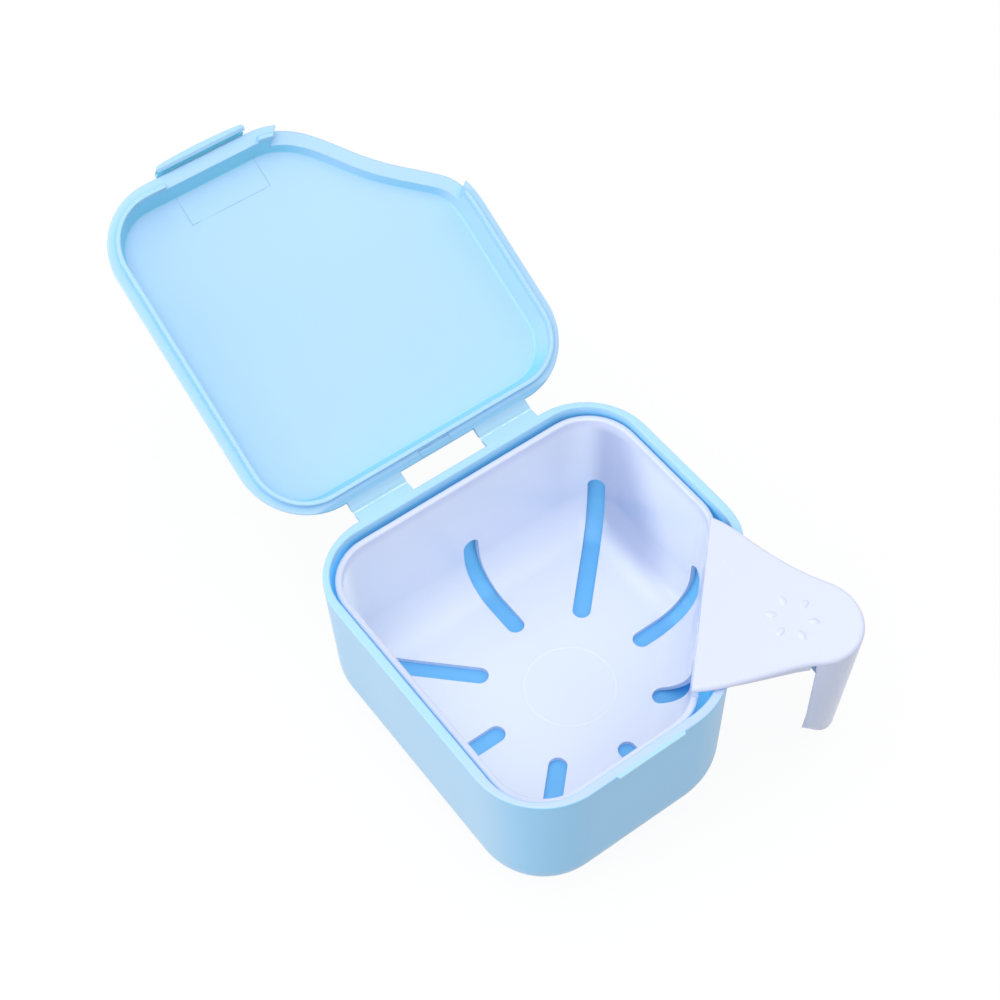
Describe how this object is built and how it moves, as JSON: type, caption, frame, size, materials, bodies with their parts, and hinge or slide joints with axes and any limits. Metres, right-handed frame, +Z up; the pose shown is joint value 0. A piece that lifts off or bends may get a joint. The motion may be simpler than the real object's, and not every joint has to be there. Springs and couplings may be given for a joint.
{
  "type": "denture case",
  "caption": "A pale blue denture case with a hinged lid and a white lift-out draining basket whose curved handle completes the cut-off corner of the case.",
  "frame": {"origin": "centre of the base's underside, on the surface that it stands on", "axes": "+Z up; +X to the right and -Y to the front as the latch faces the viewer; +Y towards the hinge; the corner between +X and -Y is the cut-off one that carries the handle"},
  "size_m": [0.0908, 0.1723, 0.0869],
  "materials": {
    "case_blue": "smooth moulded plastic, pale blue, slightly glossy",
    "basket_white": "smooth moulded plastic, cool white, slightly glossy"
  },
  "bodies": {
    "base": {"base_shell": "case_blue", "latch_ledge": "case_blue", "base_strap_left": "case_blue", "base_strap_right": "case_blue", "hinge_film_left": "case_blue", "hinge_film_right": "case_blue"},
    "lid": {"lid_shell": "case_blue", "lid_lip": "case_blue", "lid_strap_left": "case_blue", "lid_strap_right": "case_blue"},
    "latch": {"latch_tab": "case_blue"},
    "basket": {"basket_bowl": "basket_white", "floor_ring": "basket_white", "handle_plate": "basket_white", "handle_leg": "basket_white", "grip_pads": "basket_white"}
  },
  "joints": [
    {"name": "lid_hinge", "type": "hinge", "parent": "base", "child": "lid", "pos_m": [0, 0.045, 0.0415], "axis": [-1, 0, 0], "range_deg": [-150.8, 29.2]},
    {"name": "latch_flex", "type": "hinge", "parent": "lid", "child": "latch", "pos_m": [-0.0105, 0.12259, 0.08326], "axis": [-1, 0, 0], "range_deg": [0, 10], "stiffness_Nm_per_rad": 0.05},
    {"name": "basket_lift", "type": "slide", "parent": "base", "child": "basket", "axis": [0, 0, 1], "range_m": [0, 0.049]}
  ]
}
